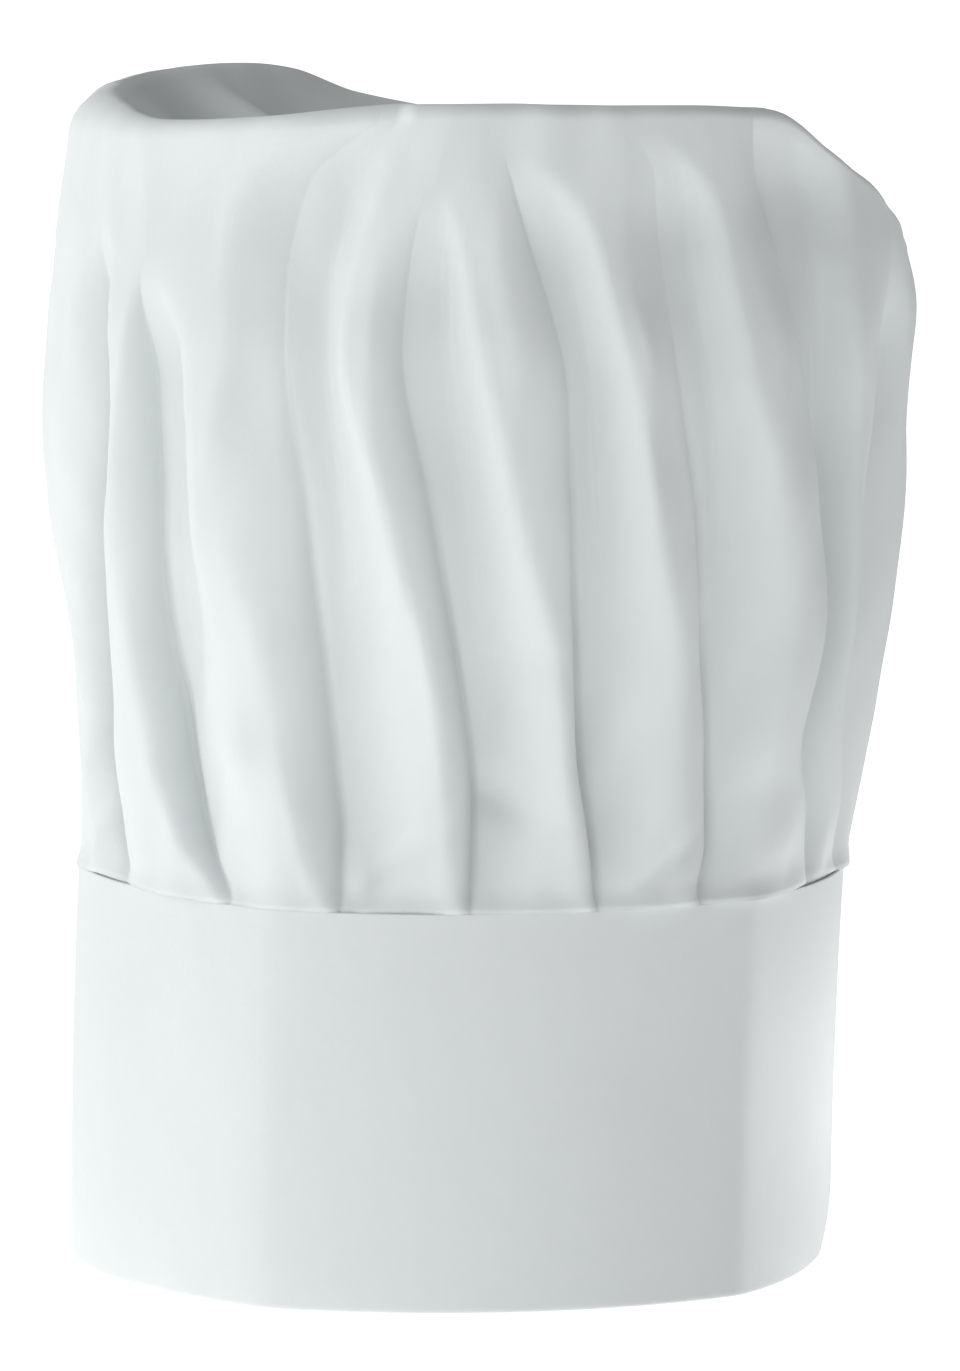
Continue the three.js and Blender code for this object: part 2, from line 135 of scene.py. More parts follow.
PLEATS = [
    (264, 1.20, -0.06, 0.70, 1.10, 0.80, 0.36, 0.50, 2.0),
    (254, 1.30, -0.06, 0.70, 0.70, 0.40, 0.50, 0.30, -0.2),
    (306, 1.50, 0.00, 0.95, 1.10, 0.50, 0.74, 0.87, -1.0),
    (276, 1.30, 0.00, 1.10, 0.95, 0.50, 0.50, 0.53, 0.0),
    (283, 1.20, -0.06, 0.89, 0.95, 0.55, 0.66, 0.38, 1.8),
    (288, 1.00, -0.06, 0.75, 0.75, 0.83, 0.73, 1.00, 2.0),
    (300, 1.20, 0.02, 0.84, 0.96, 0.50, 0.75, 0.50, -0.6),
    (256, 1.00, 0.02, 1.00, 1.20, 0.70, 1.00, 0.38, 0.9),
    (246, 0.85, 0.00, 1.00, 1.00, 0.85, 0.85, 0.40, 0.0),
    (252, 1.00, 0.00, 1.00, 1.00, 0.85, 0.85, 0.40, 0.0),
    (244, 0.90, 0.00, 1.00, 1.00, 0.85, 0.85, 0.40, 0.0),
    (257, 1.05, 0.00, 1.00, 1.00, 0.85, 0.85, 0.40, 0.0),
    (268, 0.95, 0.00, 1.00, 1.00, 0.85, 0.85, 0.40, 0.0),
    (260, 0.80, 0.00, 1.00, 1.00, 0.85, 0.85, 0.40, 0.0),
    (278, 1.00, 0.00, 1.00, 1.00, 0.85, 0.85, 0.40, 0.0),
    (272, 0.90, 0.00, 1.00, 1.00, 0.85, 0.85, 0.40, 0.0),
    (283, 1.05, 0.00, 1.00, 1.00, 0.85, 0.85, 0.40, 0.0),
    (268, 0.90, 0.00, 0.55, 0.55, 0.85, 0.85, 0.40, 0.8),
]

# A groove's rounded end: over what height its depth and its width grow from nothing, its least
# width, and how far its crease turns there.
GROOVE_TIP = 30.0
GROOVE_NARROWS = 48.0
TIP_LEAST = 0.05
TIP_TURN = 3.0

# Dents and swellings, by panel, share across it and height; slant tilts one, negative swells.
DENTS = [
    {"panel": 1, "across": 0.68, "z": 236, "wide": 0.28, "tall": 28, "deep": 1.5, "slant": 0},
    {"panel": 1, "across": 0.58, "z": 134, "wide": 0.20, "tall": 8, "deep": -1.2, "slant": 0},
    {"panel": 2, "across": 0.18, "z": 105, "wide": 0.08, "tall": 6, "deep": -1.2, "slant": 0},
    {"panel": 2, "across": 0.50, "z": 111, "wide": 0.34, "tall": 3.2, "deep": 2.2, "slant": 28},
    {"panel": 3, "across": 0.18, "z": 126, "wide": 0.26, "tall": 5, "deep": 3.4, "slant": -12},
    {"panel": 3, "across": 0.70, "z": 160, "wide": 0.22, "tall": 6, "deep": 0.8, "slant": -6},
    {"panel": 4, "across": 0.50, "z": 106, "wide": 0.34, "tall": 3.6, "deep": 1.6, "slant": 28},
    {"panel": 5, "across": 0.55, "z": 104, "wide": 0.34, "tall": 5, "deep": 0.9, "slant": 6},
    {"panel": 5, "across": 0.50, "z": 125, "wide": 0.30, "tall": 8, "deep": 1.0, "slant": 0},
    {"panel": 9, "across": 0.40, "z": 108, "wide": 0.20, "tall": 6, "deep": 2.0, "slant": 15},
    {"panel": 12, "across": 0.50, "z": 128, "wide": 0.24, "tall": 7, "deep": 1.8, "slant": -14},
    {"panel": 15, "across": 0.35, "z": 107, "wide": 0.20, "tall": 6, "deep": 2.0, "slant": 14},
]

# Soft crumpling: how many waves, how many crests each has round the hat, how fast it climbs, how
# high the waves stand near the seam and far above it, and over what height they come and calm down.
CRUMPLE_SEED = 11
CRUMPLES = 30
CRUMPLE_ROUND = (8, 46)
CRUMPLE_UP = (0.03, 0.17)
CRUMPLE_HIGH = (0.40, 0.22)
CRUMPLE_FADES = 60.0
CRUMPLE_BEGINS = 4.0

# The rim where the side turns into the top: its height, and how round its shoulder is.
RIM = [
    {"deg": -160, "z": 279.6, "round": 9},
    {"deg": -150, "z": 285.8, "round": 8},
    {"deg": -138, "z": 288.4, "round": 8},
    {"deg": -115, "z": 288.6, "round": 8},
    {"deg": -90, "z": 288.6, "round": 11},
    {"deg": -70, "z": 288.6, "round": 8},
    {"deg": -55, "z": 287.0, "round": 5},
    {"deg": -34, "z": 290.0, "round": 4},
    {"deg": -22, "z": 292.6, "round": 4},
    {"deg": -12, "z": 294.2, "round": 4},
    {"deg": 2, "z": 294.8, "round": 3.5},
    {"deg": 17, "z": 294.0, "round": 3.5},
    {"deg": 32, "z": 293.0, "round": 3},
    {"deg": 42, "z": 291.4, "round": 3},
    {"deg": 47.5, "z": 290.2, "round": 3},
    {"deg": 54, "z": 286.4, "round": 3},
    {"deg": 62, "z": 277.6, "round": 3},
    {"deg": 72, "z": 270.0, "round": 4},
    {"deg": 82, "z": 260.5, "round": 5},
    {"deg": 92, "z": 253.5, "round": 6},
    {"deg": 115, "z": 250.0, "round": 9},
    {"deg": 145, "z": 260.0, "round": 10},
    {"deg": 175, "z": 271.0, "round": 10},
]

# The top: its centre, how steeply it falls from the rim, and the folds that run across it.
TOP_CENTRE = (-14.0, 12.0, 264.0)
DISH = 2.4
TOP_FOLDS = [
    {"deg": -158, "deep": 3.0, "wide": 9},
    {"deg": -134, "deep": -7.0, "wide": 8},
    {"deg": -114, "deep": 4.5, "wide": 11},
    {"deg": -82, "deep": -2.0, "wide": 9},
    {"deg": -58, "deep": 3.5, "wide": 14},
    {"deg": 20, "deep": 3.0, "wide": 16},
    {"deg": 84, "deep": 3.5, "wide": 15},
    {"deg": 150, "deep": 3.0, "wide": 18},
]
FOLD_BEGINS = 30.0  # how far from the centre a fold has its full depth
EDGE_EVENS = 30  # over how many points to each side the pleats are smoothed out of the top
EDGE_FADES = 5  # how fast that happens, going in from the rim

# The crown's cloth and its hem, which stands between the band's plies and turns out over the edge.
CLOTH = 0.8
HEM_CLEARANCE = 0.3
HEM_TURNS = BAND_HEIGHT + 0.12
HEM_LEVELS = (86.0, 92.0, HEM_TURNS)
SEAM = BAND_HEIGHT - 0.1

# Where the gathers lift off the band: at both ends of the front and at the back, and how high.
SEAM_LIFTS = [
    {"deg": 67, "up": 1.9, "wide": 11},
    {"deg": -70, "up": 1.3, "wide": 9},
    {"deg": 150, "up": 0.8, "wide": 10},
]

# How finely the band is divided: points round it, round its fold and over its edges, and rows up
# its outer face, down and up between its plies, and down its inner face.
BAND_COLUMNS = 360
FOLD_STEPS = 5
ARCH_STEPS = 7
BAND_ROWS = {"outer": 44, "between": 9, "shut": 7, "inner": 14}

# How finely the crown is divided: rows up the side, over the shoulder and across the top, and
# points across a panel, which lie closest together at its creases.
SIDE_ROWS = 76
SIDE_ROWS_CROWD = 1.15  # above 1, rows lie closer together towards the seam
SHOULDER_ROWS = 8
TOP_ROWS = 28
CREASE_STEPS = [0, 0.014, 0.03, 0.05, 0.078]
PANEL_STEPS = (0.115, 0.865, 14)
EDGE_STEPS = [0.90, 0.93, 0.955, 0.975, 0.99]

# The shoulder's height depends on a fold's angle there, and the angle on the height, so both are
# worked out a few times over, starting from one height.
SHOULDER_GUESS = 260.0
SHOULDER_TRIES = 4

# The cloth: its colours, its sheen, how dark the painted shade in its creases is, the uneven
# patches in its tone, its threads, and how deep, in metres, its weave and its fine crumpling stand.
BAND_TINT = (0.682, 0.710, 0.708)
BAND_ROUGHNESS = 0.72
CROWN_TINT = (0.710, 0.741, 0.738)
CROWN_ROUGHNESS = 0.8
SHEEN = 0.12
SHEEN_ROUGHNESS = 0.5
SPECULAR = 0.25
# Painted shade in the creases: the tint is darkened to this share where the crease attribute is full
CREASE_PAINTED_SHADE_TONE = 0.88
UNEVEN = {"scale": 26, "detail": 4, "from": 0.3, "to": 0.75, "tone": 0.97}
THREAD_MM = 0.4
WEAVE_BUMP = {"strength": 0.08, "distance": 0.00012}
CRUMPLE_BUMP = {"scale": 140, "detail": 3, "strength": 0.25, "distance": 0.0006}

# The floor, the broad key light, the narrow side light, and the sky: between which heights and
# from which side to which it changes, and how bright it is there. Lengths here are in metres.
FLOOR_HALF = 30.0
FLOOR_TONE = 0.93
FLOOR_ROUGHNESS = 0.9
FLOOR_GLOW = 0.74
KEY = {"deg": -75, "elevation": 16, "strength": 0.43, "spread": 50, "colour": (1.0, 0.98, 0.955)}
SIDE = {"deg": 130, "far": 2.0, "power": 130.0, "spread": 3.6, "soft": 0.15, "size": 0.06}
SIDE_AIM = (0.074, -0.03, 0.034)
SKY_COLOUR = (0.97, 0.985, 1.0)
SKY_RISES = {"from": 0.12, "to": 0.7, "level": 0.66, "overhead": 0.46}
SKY_CROSSES = {"from": -1, "to": 0.83, "left": 2.2, "right": 0.05}

# The camera: its sensor's width, from how many metres away and degrees up it looks, and the size
# and middle of what it frames.
SENSOR = 36
CAMERA_DISTANCE = 5.0
CAMERA_ELEVATION = 7.4
FRAME_TALL_MM = 337.4
FRAME_CENTRE_MM = (7.14, 141.6)


# Small mathematics

def turned(deg):
    """An angle brought to between -180 and 180."""
    return np.asarray(deg, float) - 360 * np.floor((np.asarray(deg, float) + 180) / 360)


def bell(x):
    return np.exp(-x * x)


def mix(a, b, t):
    return a + (b - a) * t


def eased_out(x):
    """From 1 at 0 to 0 at 1, level at both ends."""
    return (1 + np.cos(math.pi * np.clip(x, 0, 1))) / 2


def curve(places, values, x):
    """A smooth curve through the values of a table at the given places."""
    places = np.asarray(places, float)
    values = np.asarray(values, float)
    below = np.maximum(np.arange(len(places)) - 1, 0)
    above = np.minimum(np.arange(len(places)) + 1, len(places) - 1)
    slopes = (values[above] - values[below]) / (places[above] - places[below])
    i = np.clip(np.searchsorted(places, x, side="right") - 1, 0, len(places) - 2)
    step = places[i + 1] - places[i]
    t = np.clip((x - places[i]) / step, 0, 1)
    t2 = t * t
    t3 = t2 * t
    start = (2 * t3 - 3 * t2 + 1) * values[i] + (t3 - 2 * t2 + t) * step * slopes[i]
    end = (3 * t2 - 2 * t3) * values[i + 1] + (t3 - t2) * step * slopes[i + 1]
    return start + end


def section(name, z):
    column = SECTION_COLUMNS.index(name)
    return curve([row[0] for row in SECTIONS], [row[column] for row in SECTIONS], z)


def pleat_value(name, pleat):
    column = PLEAT_COLUMNS.index(name)
    return np.array([row[column] for row in PLEATS])[pleat % len(PLEATS)]


def rim(name, deg):
    rows = RIM[-2:] + RIM + RIM[:2]
    turns = [-360, -360] + [0] * len(RIM) + [360, 360]
    places = [row["deg"] + turn for row, turn in zip(rows, turns)]
    return curve(places, [row[name] for row in rows], turned(deg))


def plan_offset(deg):
    """How far the band's plan stands out of a circle."""
    total = 0
    for row in BAND_PLAN:
        away = np.hypot(turned(deg - row["deg"]), row["soft"]) - row["soft"]
        total = total + row["out"] * np.exp(-away / CORNER_SPREAD)
    return total


# The band's and the crown's surfaces

def band_points(deg, z, inward):
    """Points of the band at angles and heights, a distance in from its outer face."""
    behind = turned(LAP["deg"] - deg)
    lapped = (inward < PLY) & (behind >= 0)
    lap = np.where(lapped, LAP["step"] * np.maximum(0, 1 - behind / LAP["fades"]), 0)
    low = np.maximum(0, 1 - z / TUCK["tall"]) ** 2
    tuck = TUCK["deep"] * bell(turned(deg - TUCK["deg"]) / TUCK["wide"]) * low
    flare = BAND_FLARE * (1 - z / BAND_HEIGHT)
    radius = BAND_RADIUS - flare + plan_offset(deg) + lap - tuck - inward
    axis = BAND_LEAN * (z / BAND_HEIGHT) ** 2
    a = np.radians(deg)
    return np.stack([axis + radius * np.sin(a), -radius * np.cos(a), z + 0 * a], -1)


def opening_of(pleat, z):
    """How open a pleat's groove is at a height, from 0 above its end to 1."""
    share = np.clip((pleat_value("top", pleat) - z) / GROOVE_TIP, 0, 1)
    return 1 - eased_out(share)


def tip_width(pleat, z):
    """How wide a groove is of its full width, round where it ends."""
    share = np.clip((pleat_value("top", pleat) - z) / GROOVE_NARROWS, 0, 1)
    return np.sqrt(1 - (1 - share) ** 2)


def crease_angle(pleat, z):
    """The angle of each crease, counted on past the last pleat into the next turn."""
    out = np.zeros(np.broadcast(pleat, z).shape)
    pleat = np.broadcast_to(pleat, out.shape)
    z = np.broadcast_to(z, out.shape)
    for number in np.unique(pleat):
        here = pleat == number
        out[here] = curve(CREASE_LEVELS, CREASES[number % len(PLEATS)], z[here])
    return out + 360 * (pleat // len(PLEATS)) + TIP_TURN * (1 - tip_width(pleat, z))


def groove_depth(pleat, z):
    return section("depth", z) * pleat_value("depth", pleat) * opening_of(pleat, z)


def rolled(x):
    """A fold's edge seen from above: from 0 at 0, rolling ever more steeply down to 1 at 1."""
    return (1 - np.sqrt(1 - ROLL * x * x)) / (1 - math.sqrt(1 - ROLL))


def folded(pleat, across, z):
    """Angle and radius of the crown's outer face at a pleat, a share across its panel, a height."""
    nxt = pleat + 1
    floor = section("floor", z) + pleat_value("floor", pleat)
    upper = np.clip((z - UPPER[0]) / (UPPER[1] - UPPER[0]), 0, 1)
    stretch = mix(pleat_value("rise", pleat), pleat_value("upper_rise", pleat), upper)
    rise = np.maximum(section("rise", z) * stretch, floor + CLIMB_LEAST)
    stretch = mix(pleat_value("fall", nxt), pleat_value("upper_fall", nxt), upper)
    fall = np.clip(section("fall", z) * stretch, *FALL_LIMITS)
    edge = np.sin(math.pi * np.clip((across - LAP_BEGINS) / (1 - LAP_BEGINS), 0, 1))
    share = across + section("lap", z) * edge
    deg = mix(crease_angle(pleat, z), crease_angle(nxt, z), share)

    wide = np.maximum(tip_width(pleat, z), TIP_LEAST)
    climb = 1 - eased_out((across / wide - floor) / (rise - floor))
    crest = 1 - eased_out((1 - CREST_AT * fall - floor) / (rise - floor))
    climbed = np.minimum(climb / np.maximum(crest, CREST_LEAST), CREST_MOST)
    down = np.clip(1 - (1 - across) / (fall * np.maximum(tip_width(nxt, z), TIP_LEAST)), 0, 1)
    sunk = section("sink", z) * np.clip(across / (wide * np.maximum(floor, SINK_LEAST)), 0, 1)
    groove = (groove_depth(pleat, z) + sunk * opening_of(pleat, z)) * (1 - climbed)
    groove = groove + groove_depth(nxt, z) * mix(rolled(down), down, pleat_value("straight", nxt))

    slit = section("slit", z) * near_crease(pleat, across, z, SLIT_WIDE)
    square = np.clip((SQUARE_UNTIL - z) / (SQUARE_UNTIL - SEAM), 0, 1)
    puff = section("puff", z) + pleat_value("puff", pleat)
    puff = puff * (opening_of(pleat, z) + opening_of(nxt, z)) / 2
    radius = section("radius", z) + plan_offset(deg) * square + puff * np.sin(math.pi * across)
    return deg, radius - groove - slit - dented(pleat, across, z) + crumpled(deg, z)


def near_crease(pleat, across, z, wide):
    """How near the cloth lies to an open crease at either side of its panel, from 0 to 1 in it."""
    near = opening_of(pleat, z) * bell(across / wide)
    return near + opening_of(pleat + 1, z) * bell((1 - across) / wide)


def dented(pleat, across, z):
    """How deep the dents lie at a share across a panel and a height."""
    total = 0
    for row in DENTS:
        off = across - row["across"]
        spot = bell(off / row["wide"]) * bell((z - row["z"] - row["slant"] * off) / row["tall"])
        total = total + np.where(pleat == row["panel"], row["deep"] * spot, 0)
    return total


def placed(deg, radius, z):
    a = np.radians(deg)
    return np.stack([section("x", z) + radius * np.sin(a), section("y", z) - radius * np.cos(a), z], -1)


def evened(ring):
    """A closed ring of points with what is narrower than a pleat smoothed out of it."""
    total = 0
    for shift in range(-EDGE_EVENS, EDGE_EVENS + 1):
        total = total + np.roll(ring, shift, 0) * (1 + math.cos(math.pi * shift / (EDGE_EVENS + 1)))
    return total / (EDGE_EVENS + 1) / 2


def top_folds(away):
    """How deep the folds across the top lie at points, given from its centre."""
    total = 0
    for row in TOP_FOLDS:
        a = math.radians(row["deg"])
        along = away[:, 0] * math.sin(a) - away[:, 1] * math.cos(a)
        aside = away[:, 0] * math.cos(a) + away[:, 1] * math.sin(a)
        total = total + row["deep"] * bell(aside / row["wide"]) * np.clip(along / FOLD_BEGINS, 0, 1)
    return total


def panel_steps():
    """Shares across one panel, from its crease to just before the next."""
    return np.concatenate([CREASE_STEPS, np.linspace(*PANEL_STEPS), EDGE_STEPS])


def crown_grid():
    """The crown's outer face, and how much painted shade each point takes from the creases near it.

    Its rows run from the hem up over the rim to just short of the centre.
    """
    shares = panel_steps()
    pleat = np.repeat(np.arange(len(PLEATS)), len(shares))
    across = np.tile(shares, len(PLEATS))
    hem_deg, _ = folded(pleat, across, np.full(len(pleat), BAND_HEIGHT))
    rows = [band_points(hem_deg, z, PLY + HEM_CLEARANCE) for z in HEM_LEVELS]
    shades = [0 * hem_deg for row in rows]

    deg, _ = folded(pleat, across, np.full(len(pleat), SHOULDER_GUESS))
    for _ in range(SHOULDER_TRIES):
        deg, _ = folded(pleat, across, rim("z", deg) - rim("round", deg))
    round_off = rim("round", deg)
    shoulder = rim("z", deg) - round_off
    lifts = [row["up"] * bell(turned(hem_deg - row["deg"]) / row["wide"]) for row in SEAM_LIFTS]
    seam = SEAM + sum(lifts)
    for share in np.linspace(0, 1, SIDE_ROWS) ** SIDE_ROWS_CROWD:
        z = mix(seam, shoulder, share)
        rows.append(placed(*folded(pleat, across, z), z))
        # Painted shade along the creases: weaker at the seam, full in the middle heights, gone near the
        # top
        shade = near_crease(pleat, across, z, SHADE_WIDE)
        shades.append(shade * np.interp(z, SHADE_LEVELS, SHADE_AT_LEVELS))
    deg, radius = folded(pleat, across, shoulder)
    flat = radius - round_off
    for share in np.linspace(0, 1, SHOULDER_ROWS)[1:]:
        a = share * math.pi / 2
        z = shoulder + round_off * math.sin(a)
        rows.append(placed(deg, flat + round_off * math.cos(a), z))

    start = rows[-1]
    centre = np.array(TOP_CENTRE)
    even = evened(start)
    for share in np.linspace(0, 1, TOP_ROWS)[1:-1]:
        edge = mix(even, start, (1 - share) ** EDGE_FADES)
        points = mix(edge, centre, share)
        points[:, 2] = mix(edge[:, 2], centre[2], 1 - (1 - share) ** DISH)
        points[:, 2] -= top_folds(points - centre) * math.sin(math.pi * share)
        rows.append(points)
    shades += [0 * deg for row in rows[len(shades):]]
    return np.stack(rows), np.stack(shades)


def grid_normals(grid, pole):
    """Outward normals of a grid whose columns go right round and whose rows run up to a pole."""
    round_way = np.roll(grid, -1, 1) - np.roll(grid, 1, 1)
    above = np.concatenate([grid[1:], np.broadcast_to(pole, grid[:1].shape)])
    below = np.concatenate([grid[:1], grid[:-1]])
    normals = np.cross(round_way, above - below)
    return normals / np.linalg.norm(normals, axis=-1, keepdims=True)


def crumple_waves():
    """Waves of cloth: how many go round the hat, how fast each one climbs, and where it starts."""
    draw = np.random.default_rng(CRUMPLE_SEED)
    around = draw.integers(*CRUMPLE_ROUND, CRUMPLES)
    up = draw.uniform(*CRUMPLE_UP, CRUMPLES) * draw.choice([-1, 1], CRUMPLES)
    return around, up, draw.uniform(0, 2 * math.pi, CRUMPLES)


def crumpled(deg, z):
    """How far soft crumpling moves the cloth out at an angle and a height."""
    total = 0
    for around, up, begin in zip(*crumple_waves()):
        total = total + np.sin(np.radians(deg) * around + up * z + begin)
    near = np.exp(-np.maximum(z - SEAM, 0) / CRUMPLE_FADES)
    high = mix(CRUMPLE_HIGH[1], CRUMPLE_HIGH[0], near) * np.clip((z - SEAM) / CRUMPLE_BEGINS, 0, 1)
    return high * total / math.sqrt(CRUMPLES / 2)


# Meshes

def make_piece(name, points, faces, uv):
    """A mesh object of smooth faces from points in millimetres about the band's axis."""
    mesh = bpy.data.meshes.new(name)
    mesh.from_pydata([tuple(p) for p in (points * MM)], [], [tuple(f) for f in faces])
    mesh.shade_smooth()
    layer = mesh.uv_layers.new(name="weave")
    loops = np.zeros(len(mesh.loops), np.int32)
    mesh.loops.foreach_get("vertex_index", loops)
    layer.data.foreach_set("uv", uv[loops].astype(np.float32).ravel())
    mesh.validate()
    mesh.update()
    obj = bpy.data.objects.new(name, mesh)
    bpy.context.scene.collection.objects.link(obj)
    return obj


def ring_faces(rows, columns, start=0, flip=False):
    """Quads of a grid that closes on itself from its last column to its first."""
    faces = []
    for r in range(rows - 1):
        for c in range(columns):
            d = (c + 1) % columns
            quad = [start + r * columns + c, start + r * columns + d]
            quad += [start + (r + 1) * columns + d, start + (r + 1) * columns + c]
            faces.append(quad[::-1] if flip else quad)
    return faces


def cloth_lengths(grid):
    """Where each grid point lies on the flat cloth: round it and up it, in metres."""
    up = np.linalg.norm(np.diff(grid, axis=0), axis=-1)
    up = np.concatenate([np.zeros((1, grid.shape[1])), np.cumsum(up, 0)])
    # One row part of the way up the outer face gives the lengths round.
    level = grid[len(grid) // 3]
    side = np.linalg.norm(np.roll(level, -1, 0) - level, axis=-1)
    around = np.concatenate([[0], np.cumsum(side)[:-1]])
    return np.stack([np.broadcast_to(around, up.shape), up.mean(1)[:, None] + 0 * up], -1) * MM


def make_crown():
    """The crown as one layer of cloth: its outer face, a coarser inner face, and the cut hem."""
    grid, shades = crown_grid()
    pole = np.array(TOP_CENTRE)
    normals = grid_normals(grid, pole)
    inner = grid - CLOTH * normals
    inner[0, :, 2] = grid[0, :, 2]
    inner = np.concatenate([inner[::2], inner[-1:]]) if len(inner) % 2 == 0 else inner[::2]
    rows, columns = grid.shape[:2]
    outside = rows * columns
    inside = inner.shape[0] * columns
    points = np.concatenate([grid.reshape(-1, 3), inner.reshape(-1, 3), [pole, pole - [0, 0, CLOTH]]])
    faces = ring_faces(rows, columns) + ring_faces(len(inner), columns, outside, flip=True)
    last = (rows - 1) * columns
    last_inner = outside + (len(inner) - 1) * columns
    for c in range(columns):
        d = (c + 1) % columns
        faces.append([last + c, last + d, outside + inside])
        faces.append([last_inner + d, last_inner + c, outside + inside + 1])
        faces.append([c, outside + c, outside + d, d])
    uv = cloth_lengths(grid).reshape(-1, 2)
    uv_inner = cloth_lengths(inner).reshape(-1, 2)
    uv = np.concatenate([uv, uv_inner, [uv[-1], uv_inner[-1]]])
    piece = make_piece("crown_cloth", points, faces, uv)
    # Painted shade: the crease attribute darkens the cloth's colour along the creases, where shadow
    # falls
    painted_crease_shade = piece.data.attributes.new("crease", "FLOAT", "POINT")
    painted_crease_shade.data.foreach_set("value", np.append(shades, np.zeros(len(points) - shades.size)))
    return piece


def band_profile():
    """The band's section: a strip of cloth folded double, whose plies part at the top for the hem.

    It runs up the outer face, over the edge, down between the plies and up again, over the inner
    edge, and down the inner face to the fold: distance in from the outer face, and height.
    """
    half = PLY / 2
    inner_top = BAND_HEIGHT - SLOT["inner_drop"] - half
    slot_floor = BAND_HEIGHT - SLOT["depth"]
    narrows = slot_floor - SLOT["narrows"]
    shut = slot_floor - SLOT["shut"]
    open_to = PLY + SLOT["wide"]
    shut_to = BAND_THICKNESS - PLY
    turn = BAND_THICKNESS / 2
    quarter = np.linspace(0, math.pi / 2, FOLD_STEPS)
    arch = np.linspace(0, math.pi, ARCH_STEPS)
    over = half - half * np.cos(arch)
    profile = [(turn - turn * math.sin(a), FOLD_ROUND * (1 - math.cos(a))) for a in quarter]
    edge = BAND_HEIGHT - EDGE_ROUND - EDGE_BEGINS
    profile += [(0, z) for z in np.linspace(PLIES_PART, edge, BAND_ROWS["outer"])]
    profile += zip(over, BAND_HEIGHT - EDGE_ROUND * (1 - np.sin(arch)))
    top = BAND_HEIGHT - half - SLOT["edge"]
    profile += [(PLY, z) for z in np.linspace(top, PLIES_STAND, BAND_ROWS["between"])]
    profile += [(PLY, PLIES_PART), (shut_to, PLIES_PART)]
    profile += [(shut_to, z) for z in np.linspace(PLIES_STAND, shut, BAND_ROWS["shut"])]
    profile += [(mix(shut_to, open_to, 0.5), narrows), (open_to, slot_floor)]
    profile += zip(open_to + over, inner_top + half * np.sin(arch))
    profile += [(open_to + PLY, slot_floor), (mix(BAND_THICKNESS, open_to + PLY, 0.5), narrows)]
    profile += [(BAND_THICKNESS, z) for z in np.linspace(shut, PLIES_PART, BAND_ROWS["inner"])]
    profile += [(turn + turn * math.cos(a), FOLD_ROUND * (1 - math.sin(a))) for a in quarter[:-1]]
    return np.array(profile)


def make_band():
    profile = band_profile()
    deg = LAP["deg"] + np.linspace(0, 360, BAND_COLUMNS, endpoint=False)
    deg = np.insert(deg, 1, LAP["deg"] + LAP["end"])
    grid = np.stack([band_points(deg, z, inward) for inward, z in profile])
    rows, columns = grid.shape[:2]
    points = grid.reshape(-1, 3)
    faces = ring_faces(rows, columns)
    last = (rows - 1) * columns
    for c in range(columns):
        d = (c + 1) % columns
        faces.append([last + c, last + d, d, c])
    uv = cloth_lengths(grid).reshape(-1, 2)
    return make_piece("band_cloth", points, faces, uv)


# Materials

def toned(tint, tone):
    """A tint made darker, as a colour with alpha."""
    return [*(tone * t for t in tint), 1]


